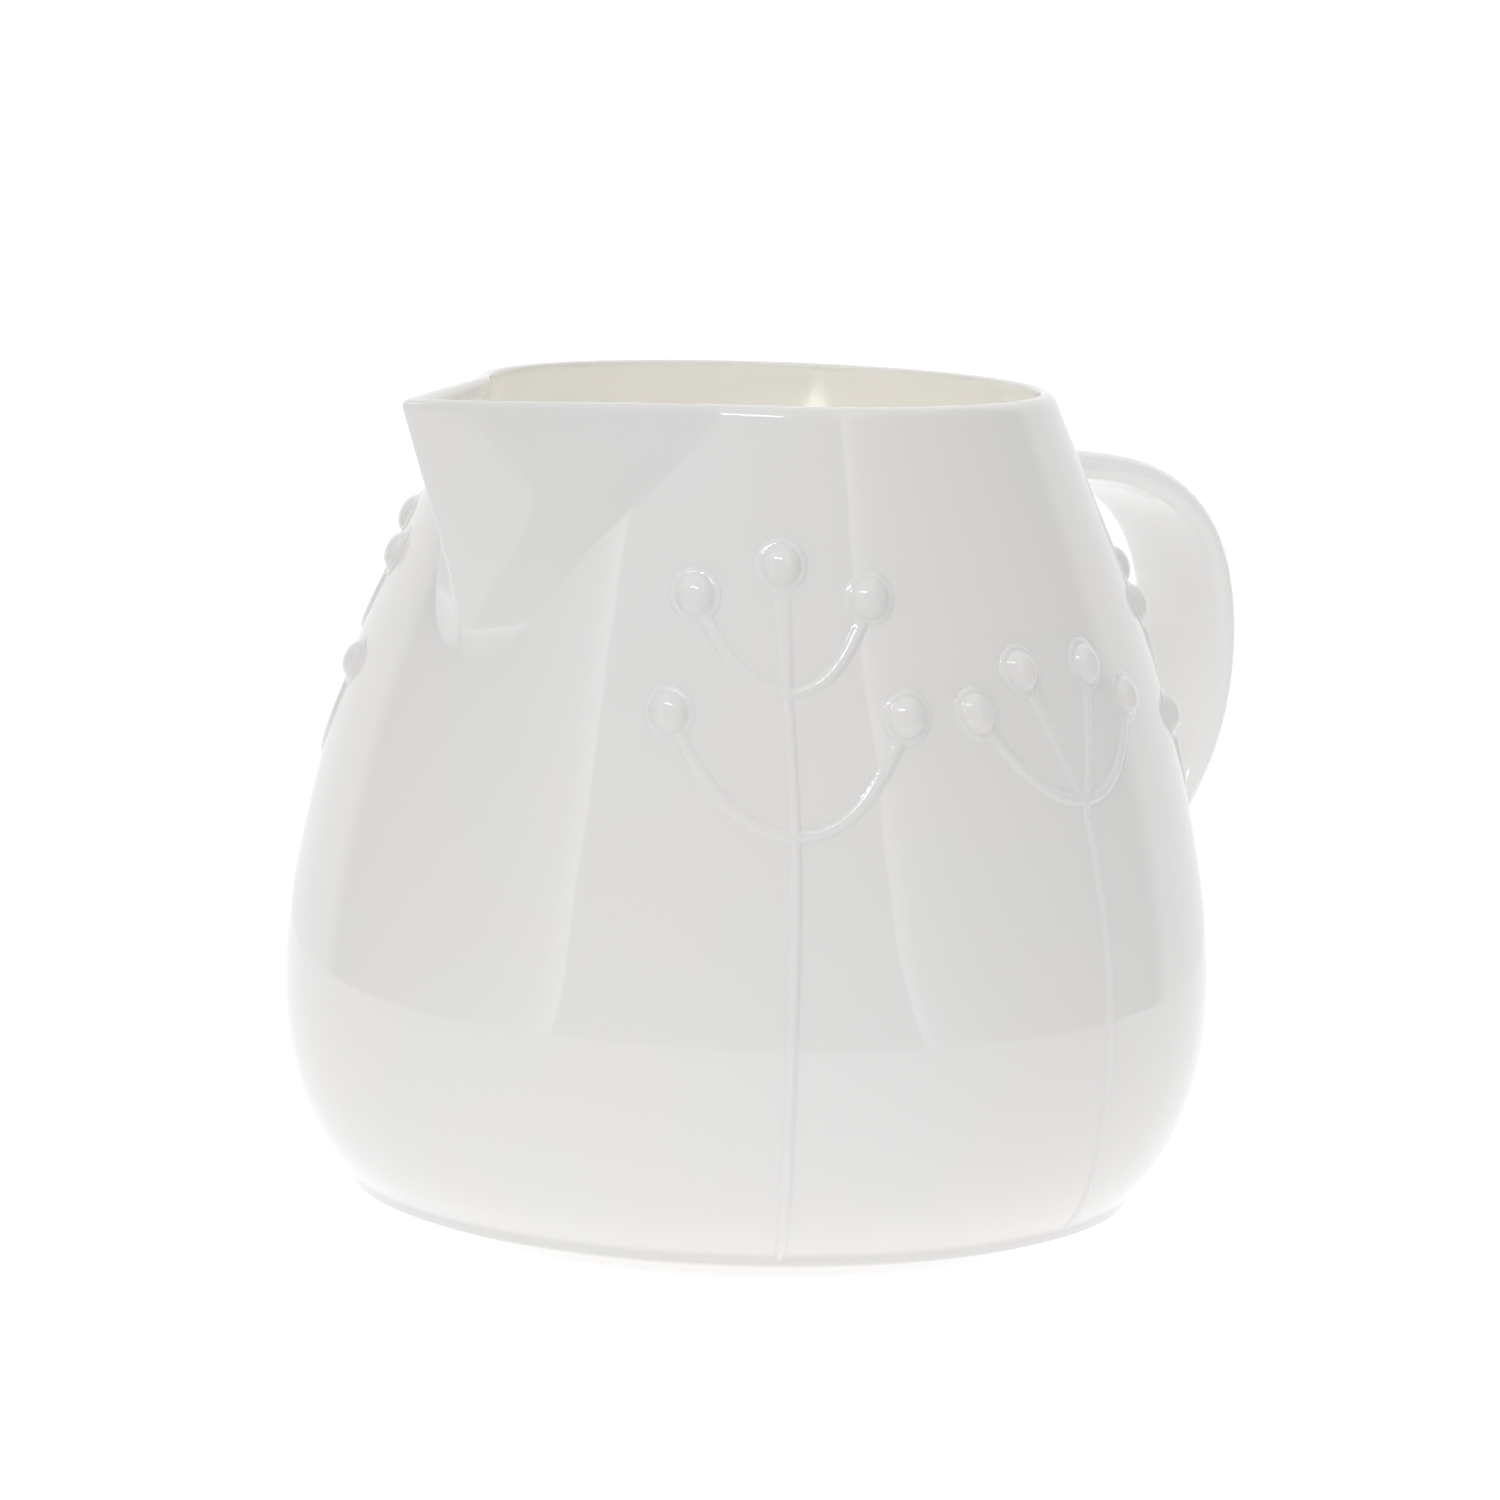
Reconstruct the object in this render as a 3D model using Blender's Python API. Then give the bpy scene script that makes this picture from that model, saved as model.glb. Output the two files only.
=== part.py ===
"""Glazed ceramic pitcher: turned belly, beak spout, strap handle and raised flower sprigs.

Frame: metres, +Z up. The spout points to -X, the handle to +X and the foot stands on z = 0.
The origin lies on the standing plane, under the centre of the overall bounding box, so the
axis that the belly is turned on stands at x = AXIS_X.
"""

import math

import bmesh
import bpy
import numpy as np
from mathutils import Vector

MM = 0.001

# Driving dimensions
RIM_HEIGHT = 147.5 * MM
WALL = 2.6 * MM
GAP = 0.3 * MM  # clearance between pieces that are luted together
SPOUT_REACH = 83.2 * MM  # belly axis to spout tip
HANDLE_REACH = 115.5 * MM  # belly axis to the back of the handle
AXIS_X = (SPOUT_REACH - HANDLE_REACH) / 2

# Outer outline of the belly, (radius, height), foot to rim
BELLY_OUTLINE = [
    (42.0 * MM, 1.0 * MM),
    (58.9 * MM, 5.0 * MM),
    (69.7 * MM, 12.5 * MM),
    (76.6 * MM, 24.5 * MM),
    (79.8 * MM, 43.5 * MM),
    (76.9 * MM, 69.5 * MM),
    (67.1 * MM, 105.5 * MM),
    (58.4 * MM, 126.5 * MM),
    (49.2 * MM, RIM_HEIGHT),
]
TURN_STEPS = 72
OUTER_POINTS = 17
ENVELOPE_STEPS = 180  # the envelope is turned finer, so that the luted seams run smooth
ENVELOPE_POINTS = 41
INNER_POINTS = 13

# Foot ring, turned under the belly
FOOT_OUTER = 36.2 * MM
FOOT_INNER = 31.0 * MM
FOOT_CHAMFER = 0.4 * MM
FOOT_RECESS = 1.2 * MM
FLOOR_TOP = 4.2 * MM

# Beak spout
SPOUT_FOOT = 103.0 * MM  # height where the keel leaves the belly
SPOUT_EDGE = 1.0 * MM  # half width of the blunt keel
SPOUT_LEVELS = 20
SPOUT_OVERRUN = 3.0 * MM  # the spout and its channel run on this far into what they are cut by
CREASE_REACH = 8.0 * MM  # the side walls run on this far past the crease, into the belly
BACK_DEPTH = 6.0 * MM  # and the section's back lies this far behind them
KEEL_NOSE = 0.4  # how far the blunt keel rounds back towards the corner it replaces
KEEL = [
    (66.8 * MM, 97.5 * MM),
    (68.9 * MM, 111.3 * MM),
    (73.9 * MM, 126.0 * MM),
    (SPOUT_REACH, RIM_HEIGHT),
]
# Angle between the keel's plane and a side wall of the spout, (degrees, height)
SPOUT_OPENING = [
    (87.0, 103.5 * MM),
    (66.2, 110.5 * MM),
    (52.0, 118.9 * MM),
    (39.6, 135.4 * MM),
    (33.7, RIM_HEIGHT),
]

# Strap handle: centre line in the XZ plane, (radius, height), top root to bottom root
STRAP_HALF_WIDTH = 11.0 * MM
STRAP_HALF_THICKNESS = 2.5 * MM
ROOT_HALF_WIDTH = 14.0 * MM
ROOT_HALF_THICKNESS = 4.6 * MM
STRAP_BACK = (HANDLE_REACH - STRAP_HALF_THICKNESS, 95.5 * MM)
STRAP_TOP_ARC = [
    (58.6 * MM, 131.7 * MM),
    (76.0 * MM, 130.5 * MM),
    (STRAP_BACK[0], 132.5 * MM),
    STRAP_BACK,
]
STRAP_LOWER_ARC = [
    STRAP_BACK,
    (STRAP_BACK[0], 66.2 * MM),
    (83.9 * MM, 52.3 * MM),
    (76.9 * MM, 46.0 * MM),
]
STRAP_STATIONS = 12  # per arc
STRAP_FINE = 180  # must be a multiple of STRAP_STATIONS
ROOT_START = 1.5 * MM  # the strap proper starts this far off the belly
ROOT_LENGTH = 13.0 * MM  # stretch over which a root flares
ROOT_BLEND = 0.6  # how much of the flare lies in the strap, before it meets the belly
EDGE_TURN = [math.radians(a) for a in (90.0, 45.0, 0.0, -45.0, -90.0)]

# Flower sprigs: raised ribs that end in round heads
RIB_HALF_WIDTH = 0.85 * MM
RIB_END_HALF_WIDTH = 1.15 * MM
RIB_HEIGHT = 0.85 * MM  # above the belly, as for the heads
HEAD_RADIUS = 3.9 * MM
HEAD_HEIGHT = 2.5 * MM
HEAD_SIDES = 8
ARC_STEPS = 6
STEM_STEPS = 9
WRAP_STEP = 6.0 * MM  # tallest stretch of a sprig that stays flat when it is wrapped
SHEET_SIZE = 400.0 * MM  # sheet that the sprigs are pressed on, wider than any of them
CREST_STEP = 0.04  # share of the crest by which each arm lies lower than the one before
OUTER_BOW = 0.6  # how far out an arm swings before it climbs
INNER_BOW = 0.18
RAW_DEPTH = 1.0 * MM  # ribs and heads start this far below the sheet and are trimmed to it
RIB_PROFILE = [(1.0, 0.3), (0.5, 1.0)]  # (share of the half width, share of the crest)
HEAD_PROFILE = [(1.0, 0.25), (0.72, 0.75), (0.35, 1.0)]  # (share of the radius, of the crest)

# Arms: (half spread at the heads, head height, height where they leave the stem, bow)
LARGE_ARMS = [
    (14.2 * MM, 117.7 * MM, 103.0 * MM, OUTER_BOW),
    (19.5 * MM, 99.3 * MM, 80.7 * MM, OUTER_BOW),
]
SMALL_ARMS = [
    (8.1 * MM, 105.7 * MM, 84.5 * MM, INNER_BOW),
    (18.9 * MM, 99.5 * MM, 84.5 * MM, OUTER_BOW),
]
# Stems: (sideways offset, height), bottom to top
LARGE_STEM = [
    (0.4 * MM, 9.5 * MM),
    (0.0 * MM, 45.5 * MM),
    (0.0 * MM, 81.5 * MM),
    (-1.3 * MM, 103.0 * MM),
    (-2.3 * MM, 122.7 * MM),
]
SMALL_STEM = [
    (7.8 * MM, 11.4 * MM),
    (4.2 * MM, 25.5 * MM),
    (2.7 * MM, 43.5 * MM),
    (2.4 * MM, 63.5 * MM),
    (1.0 * MM, 84.5 * MM),
]
LOW_SPRIG_DROP = 5.5 * MM
# name ending: (angle from the spout, arms, stem, head on the stem's end, drop)
SPRIGS = {
    "spout_side": (math.radians(50.5), LARGE_ARMS, LARGE_STEM, True, 0.0),
    "middle": (math.radians(92.0), SMALL_ARMS, SMALL_STEM, False, 0.0),
    "handle_side": (math.radians(145.0), LARGE_ARMS, LARGE_STEM, True, LOW_SPRIG_DROP),
}

# Finish
BODY_GLAZE = (0.80, 0.80, 0.78)
RELIEF_GLAZE = (0.81, 0.81, 0.79)
GLAZE_ROUGHNESS = 0.12
GLAZE_COAT = 0.6
SHARP_ANGLE = math.radians(35.0)
MERGE = 0.01 * MM
FINE = 400  # points that a curve is read at


# ---------------------------------------------------------------- curves


def smooth_curve(points, count):
    """Natural cubic spline through the points, read at count even steps of chord length."""
    points = np.array(points, float)
    chord = np.r_[0.0, np.cumsum(np.linalg.norm(np.diff(points, axis=0), axis=1))]
    step = np.diff(chord)
    last = len(points) - 1
    system = np.eye(last + 1)
    slopes = np.zeros_like(points)
    for i in range(1, last):
        system[i, i - 1 : i + 2] = step[i - 1], 2 * (step[i - 1] + step[i]), step[i]
        rise = (points[i + 1] - points[i]) / step[i]
        slopes[i] = 6 * (rise - (points[i] - points[i - 1]) / step[i - 1])
    bend = np.linalg.solve(system, slopes)
    where = np.linspace(0.0, chord[-1], count)
    span = np.clip(np.searchsorted(chord, where, side="right") - 1, 0, last - 1)
    width = step[span][:, None]
    ahead = (where - chord[span])[:, None]
    behind = width - ahead
    cubic = (bend[span] * behind**3 + bend[span + 1] * ahead**3) / (6 * width)
    start = (points[span] / width - bend[span] * width / 6) * behind
    end = (points[span + 1] / width - bend[span + 1] * width / 6) * ahead
    return cubic + start + end


def bezier(controls, t):
    """Point of a Bezier curve of any degree."""
    points = [np.array(p, float) for p in controls]
    while len(points) > 1:
        points = [a + (b - a) * t for a, b in zip(points, points[1:])]
    return points[0]


BELLY = smooth_curve(BELLY_OUTLINE, FINE)
KEEL_LINE = smooth_curve(KEEL, FINE)
OPENING_LINE = smooth_curve([(math.radians(a), z) for a, z in SPOUT_OPENING], FINE)


def belly_radius(height):
    return float(np.interp(height, BELLY[:, 1], BELLY[:, 0]))


def belly_normal(height):
    """Outward normal of the belly's outline, as (radial, vertical)."""
    reach = 0.5 * MM
    run = belly_radius(height + reach) - belly_radius(height - reach)
    normal = Vector((2 * reach, -run))
    return normal.normalized()


def keel_radius(height):
    return float(np.interp(height, KEEL_LINE[:, 1], KEEL_LINE[:, 0]))


def around(radius, angle, height):
    """Point at an angle measured from the spout, positive towards the front (-Y)."""
    return Vector((-radius * math.cos(angle), -radius * math.sin(angle), height))


# ---------------------------------------------------------------- scene helpers


def clear_scene():
    for old in list(bpy.data.objects):
        bpy.data.objects.remove(old, do_unlink=True)


def glaze(name, colour):
    material = bpy.data.materials.new(name)
    material.use_nodes = True
    shader = material.node_tree.nodes["Principled BSDF"]
    shader.inputs["Base Color"].default_value = (*colour, 1.0)
    shader.inputs["Roughness"].default_value = GLAZE_ROUGHNESS
    shader.inputs["Metallic"].default_value = 0.0
    shader.inputs["Coat Weight"].default_value = GLAZE_COAT
    material.diffuse_color = (*colour, 1.0)
    return material


def add_object(name, mesh, parent=None, material=None):
    piece = bpy.data.objects.new(name, mesh)
    bpy.context.collection.objects.link(piece)
    piece.parent = parent
    if material:
        mesh.materials.append(material)
    return piece


def face_outwards(bm):
    bmesh.ops.recalc_face_normals(bm, faces=bm.faces)


def mesh_from(name, bm):
    mesh = bpy.data.meshes.new(name)
    bm.to_mesh(mesh)
    bm.free()
    mesh.shade_smooth()
    mesh.set_sharp_from_angle(angle=SHARP_ANGLE)
    return mesh


def hide_as_cutter(piece):
    piece.hide_render = True
    piece.display_type = "WIRE"


def cut_with(piece, cutter):
    boolean = piece.modifiers.new(f"cut_{cutter.name}", "BOOLEAN")
    boolean.operation = "DIFFERENCE"
    boolean.object = cutter


def turn(piece, steps):
    """Turn the object's open outline about Z into a closed solid."""
    screw = piece.modifiers.new("turn", "SCREW")
    screw.axis = "Z"
    screw.steps = steps
    screw.render_steps = steps
    screw.use_merge_vertices = True
    screw.merge_threshold = MERGE
    screw.use_smooth_shade = True


def outline_mesh(name, outline):
    """Open polyline in the XZ plane from (radius, height) points."""
    points = [(radius, 0.0, height) for radius, height in outline]
    links = [(i, i + 1) for i in range(len(points) - 1)]
    mesh = bpy.data.meshes.new(name)
    mesh.from_pydata(points, links, [])
    return mesh


def bridge_rings(bm, rings):
    """Skin a row of rings with equal vertex counts."""
    for near, far in zip(rings, rings[1:]):
        for i in range(len(near)):
            j = (i + 1) % len(near)
            bm.faces.new((near[i], near[j], far[j], far[i]))


# ---------------------------------------------------------------- belly


def inner_outline():
    """Inside of the wall, floor to rim: the outer outline moved in by the wall."""
    points = []
    for radius, height in smooth_curve(BELLY_OUTLINE, INNER_POINTS)[1:-1]:
        radial, vertical = belly_normal(height)
        points.append((radius - WALL * radial, height - WALL * vertical))
    floor_edge = (BELLY_OUTLINE[0][0], FLOOR_TOP)
    rim = (BELLY_OUTLINE[-1][0] - WALL, RIM_HEIGHT)
    return [(0.0, FLOOR_TOP), floor_edge, *points, rim]


def foot_outline():
    """Foot ring and recessed underside, from the belly's lowest point in to the axis."""
    return [
        (FOOT_OUTER, FOOT_CHAMFER),
        (FOOT_OUTER - FOOT_CHAMFER, 0.0),
        (FOOT_INNER + FOOT_CHAMFER, 0.0),
        (FOOT_INNER, FOOT_CHAMFER),
        (FOOT_INNER - FOOT_CHAMFER, FOOT_RECESS),
        (0.0, FOOT_RECESS),
    ]


def make_vessel_body(parent, channel):
    outer = [tuple(p) for p in smooth_curve(BELLY_OUTLINE, OUTER_POINTS)[::-1]]
    mesh = outline_mesh("vessel_body", [*inner_outline(), *outer, *foot_outline()])
    body = add_object("vessel_body", mesh, parent, glaze("vessel_glaze", BODY_GLAZE))
    turn(body, TURN_STEPS)
    cut_with(body, channel)
    return body


def make_belly_envelope(parent):
    """Cutter: the belly without its hollow, larger by the gap, for what is luted onto it."""
    top = RIM_HEIGHT + SPOUT_OVERRUN
    outline = [(0.0, top), (belly_radius(RIM_HEIGHT) + GAP, top)]
    for radius, height in smooth_curve(BELLY_OUTLINE, ENVELOPE_POINTS)[::-1]:
        radial, vertical = belly_normal(height)
        outline.append((radius + GAP * radial, height + GAP * vertical))
    outline.append((0.0, outline[-1][1]))
    mesh = outline_mesh("belly_envelope", outline)
    envelope = add_object("belly_envelope", mesh, parent)
    turn(envelope, ENVELOPE_STEPS)
    hide_as_cutter(envelope)
    return envelope


# ---------------------------------------------------------------- spout


def spout_section(height, inset):
    """Wedge-shaped section: keel, side walls and a back inside the belly.

    The side walls run straight through the crease into the hollow. Inset moves them inwards.
    """
    tip = keel_radius(height)
    half_angle = float(np.interp(height, OPENING_LINE[:, 1], OPENING_LINE[:, 0]))
    offset = min(tip * math.sin(half_angle) / belly_radius(height), 1.0)
    crease = math.asin(offset) - half_angle  # angle from the keel where side and belly meet
    aside = belly_radius(height) * math.sin(max(crease, 0.0))
    tip -= inset / math.sin(half_angle)
    edge = SPOUT_EDGE * math.cos(half_angle)
    blunt = edge / math.tan(half_angle)
    far_side = aside + CREASE_REACH
    far_along = tip - far_side / math.tan(half_angle)
    nose = [(tip - KEEL_NOSE * blunt, 0.0), (tip - blunt, edge)]
    half = [*nose, (far_along, far_side), (far_along - BACK_DEPTH, far_side)]
    mirrored = [(x, -y) for x, y in half[:0:-1]]
    return [Vector((-x, -y, height)) for x, y in half + mirrored]


def spout_loft(name, bottom, top, inset, parent):
    bm = bmesh.new()
    rings = []
    for i in range(SPOUT_LEVELS):
        height = bottom + (RIM_HEIGHT - bottom) * i / (SPOUT_LEVELS - 1)
        section = spout_section(height, inset)
        if i == SPOUT_LEVELS - 1:
            section = [Vector((p.x, p.y, top)) for p in section]
        rings.append([bm.verts.new(p) for p in section])
    bridge_rings(bm, rings)
    bm.faces.new(rings[0])
    bm.faces.new(rings[-1])
    bmesh.ops.triangulate(bm, faces=bm.faces)
    face_outwards(bm)
    return add_object(name, mesh_from(name, bm), parent)


def make_channel(parent):
    """Cutter: the pouring channel, open at the rim."""
    bottom, top = SPOUT_FOOT + SPOUT_OVERRUN, RIM_HEIGHT + SPOUT_OVERRUN
    channel = spout_loft("channel", bottom, top, WALL, parent)
    hide_as_cutter(channel)
    return channel


def make_spout(parent, channel, envelope):
    spout = spout_loft("spout", SPOUT_FOOT - SPOUT_OVERRUN, RIM_HEIGHT, 0.0, parent)
    spout.data.materials.append(glaze("spout_glaze", BODY_GLAZE))
    cut_with(spout, envelope)
    cut_with(spout, channel)
    return spout


# ---------------------------------------------------------------- handle


def strap_centre_line():
    """Points clear of the belly along the centre line, and the heights where it meets the belly."""
    count = STRAP_FINE
    points = [bezier(STRAP_TOP_ARC, i / count) for i in range(count)]
    points += [bezier(STRAP_LOWER_ARC, i / count) for i in range(count + 1)]
    clear = np.array([p for p in points if p[0] > belly_radius(p[1]) + ROOT_START])
    return clear[:: count // STRAP_STATIONS], (clear[0][1], clear[-1][1])


def strap_section(half_width, half_thickness):
    """Section with crowned faces and round edges, as (sideways, outwards) offsets."""
    section = []
    for side in (1.0, -1.0):
        for angle in EDGE_TURN:
            aside = half_width - half_thickness * (1 - math.cos(angle))
            section.append((side * aside, side * half_thickness * math.sin(angle)))
        section.append((0.0, -side * half_thickness))
    return section


def strap_ring(bm, centre, tangent, section):
    """Section square to the path."""
    return [
        bm.verts.new((centre[0] - tangent[1] * out, aside, centre[1] + tangent[0] * out))
        for aside, out in section
    ]


def root_ring(bm, height, facing):
    """Section pressed against the belly, a gap clear of it."""
    ring = []
    for aside, out in strap_section(ROOT_HALF_WIDTH, ROOT_HALF_THICKNESS):
        level = height + facing * out
        reach = belly_radius(level) + GAP
        ring.append(bm.verts.new((math.sqrt(reach**2 - aside**2), aside, level)))
    return ring


def cap_root(bm, ring):
    """Close a root with strips from one long edge to the other, hugging the belly."""
    middle = len(EDGE_TURN) // 2
    half = len(ring) // 2
    near = [ring[(middle - i) % len(ring)] for i in range(half + 1)]
    far = [ring[middle + i] for i in range(half + 1)]
    for i in range(half):
        corners = [near[i], near[i + 1], far[i + 1], far[i]]
        bm.faces.new(list(dict.fromkeys(corners)))


def make_handle(parent):
    bm = bmesh.new()
    path, (top_root, bottom_root) = strap_centre_line()
    runs = np.r_[0.0, np.cumsum(np.linalg.norm(np.diff(path, axis=0), axis=1))]
    tangents = np.gradient(path, axis=0)
    rings = [root_ring(bm, top_root, 1.0)]
    for centre, tangent, run in zip(path, tangents, runs):
        to_root = min(run, runs[-1] - run)
        flare = ROOT_BLEND * max(0.0, 1 - to_root / ROOT_LENGTH) ** 2
        half_width = STRAP_HALF_WIDTH + flare * (ROOT_HALF_WIDTH - STRAP_HALF_WIDTH)
        thickening = flare * (ROOT_HALF_THICKNESS - STRAP_HALF_THICKNESS)
        section = strap_section(half_width, STRAP_HALF_THICKNESS + thickening)
        rings.append(strap_ring(bm, centre, tangent / np.linalg.norm(tangent), section))
    rings.append(root_ring(bm, bottom_root, -1.0))
    bridge_rings(bm, rings)
    cap_root(bm, rings[0])
    cap_root(bm, rings[-1])
    bmesh.ops.triangulate(bm, faces=bm.faces)
    face_outwards(bm)
    return add_object("handle", mesh_from("handle", bm), parent, glaze("handle_glaze", BODY_GLAZE))


# ---------------------------------------------------------------- flower sprigs


def add_rib(bm, line, end_half_width, crest):
    """Flat-backed rib along a line of (sideways, height) points, widening to its end."""
    rings = []
    tangents = np.gradient(line, axis=0)
    for i, (point, tangent) in enumerate(zip(line, tangents)):
        across = np.array((tangent[1], -tangent[0])) / np.linalg.norm(tangent)
        half = RIB_HALF_WIDTH + (end_half_width - RIB_HALF_WIDTH) * i / (len(line) - 1)
        profile = [(-half, -RAW_DEPTH)]
        profile += [(-half * scale, crest * share) for scale, share in RIB_PROFILE]
        profile += [(-shift, level) for shift, level in profile[::-1]]
        ring = [(*(point + across * shift), level) for shift, level in profile]
        rings.append([bm.verts.new(p) for p in ring])
    bridge_rings(bm, rings)
    bm.faces.new(rings[0])
    bm.faces.new(rings[-1][::-1])


def add_head(bm, centre, crest):
    """Round dome with a soft shoulder."""
    levels = [(1.0, -RAW_DEPTH), *((scale, crest * share) for scale, share in HEAD_PROFILE)]
    rings = []
    for scale, level in levels:
        ring = []
        for i in range(HEAD_SIDES):
            angle = math.tau * i / HEAD_SIDES
            aside = centre[0] + HEAD_RADIUS * scale * math.cos(angle)
            up = centre[1] + HEAD_RADIUS * scale * math.sin(angle)
            ring.append(bm.verts.new((aside, up, level)))
        rings.append(ring)
    bridge_rings(bm, rings)
    bm.faces.new(rings[0])
    bm.faces.new(rings[-1][::-1])


def flat_sprig(name, arms, stem, head_on_stem, drop):
    """The sprig as loose overlapping shapes on a flat sheet: X sideways, Y up, Z proud."""
    bm = bmesh.new()
    stem = [stem[0], *((aside, height - drop) for aside, height in stem[1:])]
    fine = smooth_curve(stem, FINE)
    heights = np.linspace(stem[0][1], stem[-1][1], STEM_STEPS + 1)
    line = np.column_stack((np.interp(heights, fine[:, 1], fine[:, 0]), heights))
    rib_crest = RIB_HEIGHT - GAP
    head_crest = HEAD_HEIGHT - GAP
    stem_end = 2 * RIB_END_HALF_WIDTH - RIB_HALF_WIDTH if head_on_stem else RIB_HALF_WIDTH
    add_rib(bm, line, stem_end, rib_crest)
    if head_on_stem:
        add_head(bm, line[-1], head_crest)
    for order, (spread, head_height, fork_height, bow) in enumerate(arms):
        fork_height -= drop
        head_height -= drop
        fork = np.interp(fork_height, line[:, 1], line[:, 0])
        lean = np.interp(head_height, line[:, 1], line[:, 0]) if head_on_stem else 0.0
        for side in (-1.0, 1.0):
            head = (lean + side * spread, head_height)
            swing = (fork + side * bow * spread, fork_height)
            controls = [(fork, fork_height), swing, head]
            arm = [bezier(controls, i / ARC_STEPS) for i in range(ARC_STEPS + 1)]
            crest = rib_crest * (1 - CREST_STEP * (1 + order + side / 2))
            add_rib(bm, np.array(arm), RIB_END_HALF_WIDTH, crest)
            add_head(bm, head, head_crest)
    face_outwards(bm)
    return mesh_from(name, bm)


def make_sheet(parent):
    """Cutter: everything proud of the flat sheet that sprigs are pressed on."""
    bm = bmesh.new()
    bmesh.ops.create_cube(bm, size=SHEET_SIZE)
    bmesh.ops.translate(bm, verts=bm.verts, vec=(0.0, 0.0, SHEET_SIZE / 2))
    face_outwards(bm)
    sheet = add_object("sheet", mesh_from("sheet", bm), parent)
    hide_as_cutter(sheet)
    return sheet


def pressed(name, flat_mesh, sheet):
    """Merge the sprig's shapes into one body and trim its back flat."""
    raw = add_object(f"{name}_raw", flat_mesh)
    trim = raw.modifiers.new("trim", "BOOLEAN")
    trim.operation = "INTERSECT"
    trim.object = sheet
    trim.use_self = True
    evaluated = raw.evaluated_get(bpy.context.evaluated_depsgraph_get())
    mesh = bpy.data.meshes.new_from_object(evaluated)
    bpy.data.objects.remove(raw, do_unlink=True)
    return mesh


def make_sprig(parent, name, sheet, shape, front):
    """Wrap a pressed sprig round the belly; front is 1.0 for the -Y side, -1.0 for +Y."""
    angle, arms, stem, head_on_stem, drop = shape
    mesh = pressed(name, flat_sprig(name, arms, stem, head_on_stem, drop), sheet)
    bm = bmesh.new()
    bm.from_mesh(mesh)
    bottom, top = (end(vert.co.y for vert in bm.verts) for end in (min, max))
    for height in np.arange(bottom, top, WRAP_STEP)[1:]:
        everything = [*bm.verts, *bm.edges, *bm.faces]
        level = (0.0, height, 0.0)
        bmesh.ops.bisect_plane(bm, geom=everything, plane_co=level, plane_no=(0.0, 1.0, 0.0))
    bmesh.ops.triangulate(bm, faces=bm.faces, ngon_method="BEAUTY")
    for vert in bm.verts:
        aside, height, proud = vert.co
        radial, vertical = belly_normal(height)
        radius = belly_radius(height) + (GAP + proud) * radial
        turned = front * (angle + aside / belly_radius(height))
        vert.co = around(radius, turned, height + (GAP + proud) * vertical)
    if front < 0:
        bmesh.ops.reverse_faces(bm, faces=bm.faces)
    return add_object(name, mesh_from(name, bm), parent, glaze(f"{name}_glaze", RELIEF_GLAZE))


def main():
    clear_scene()
    pitcher = bpy.data.objects.new("pitcher", None)
    bpy.context.collection.objects.link(pitcher)
    pitcher.location = (AXIS_X, 0.0, 0.0)
    channel = make_channel(pitcher)
    envelope = make_belly_envelope(pitcher)
    make_vessel_body(pitcher, channel)
    make_spout(pitcher, channel, envelope)
    make_handle(pitcher)
    sheet = make_sheet(None)
    for ending, shape in SPRIGS.items():
        make_sprig(pitcher, f"sprig_front_{ending}", sheet, shape, 1.0)
        make_sprig(pitcher, f"sprig_back_{ending}", sheet, shape, -1.0)


main()
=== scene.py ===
"""Looks of the glazed ceramic pitcher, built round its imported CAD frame.

Metres, +Z up. The spout points to -X, the handle to +X and the front is -Y. Every piece is a
fine mesh that stands for its CAD nodes, from nearly the same driving sizes as the CAD part: the
spout's foot starts a little lower, the handle's roots are filleted, and the gaps that keep the
CAD solids apart are closed.
"""

import math

import bpy
import numpy as np
from mathutils import Matrix, Vector


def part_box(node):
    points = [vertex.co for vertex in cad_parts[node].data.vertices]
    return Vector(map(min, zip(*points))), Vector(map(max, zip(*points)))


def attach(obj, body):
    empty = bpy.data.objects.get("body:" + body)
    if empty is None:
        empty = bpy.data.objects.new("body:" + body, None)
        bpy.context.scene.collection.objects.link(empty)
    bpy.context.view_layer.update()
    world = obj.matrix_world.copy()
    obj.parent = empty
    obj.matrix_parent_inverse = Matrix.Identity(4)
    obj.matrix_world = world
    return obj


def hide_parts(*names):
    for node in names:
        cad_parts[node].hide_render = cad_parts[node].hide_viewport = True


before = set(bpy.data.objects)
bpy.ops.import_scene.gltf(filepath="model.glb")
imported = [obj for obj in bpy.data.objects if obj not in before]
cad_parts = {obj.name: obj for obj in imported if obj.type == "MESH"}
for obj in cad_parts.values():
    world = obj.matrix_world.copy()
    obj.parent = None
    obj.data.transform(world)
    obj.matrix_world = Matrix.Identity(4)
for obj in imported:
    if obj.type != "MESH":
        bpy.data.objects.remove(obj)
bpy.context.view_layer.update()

MM = 0.001
BODY_LOW, BODY_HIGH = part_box("vessel_body")
AXIS_X = (BODY_LOW.x + BODY_HIGH.x) / 2  # the axis that the belly is turned on
RIM = BODY_HIGH.z
SPOUT_REACH = AXIS_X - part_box("spout")[0].x
HANDLE_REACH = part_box("handle")[1].x - AXIS_X

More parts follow.
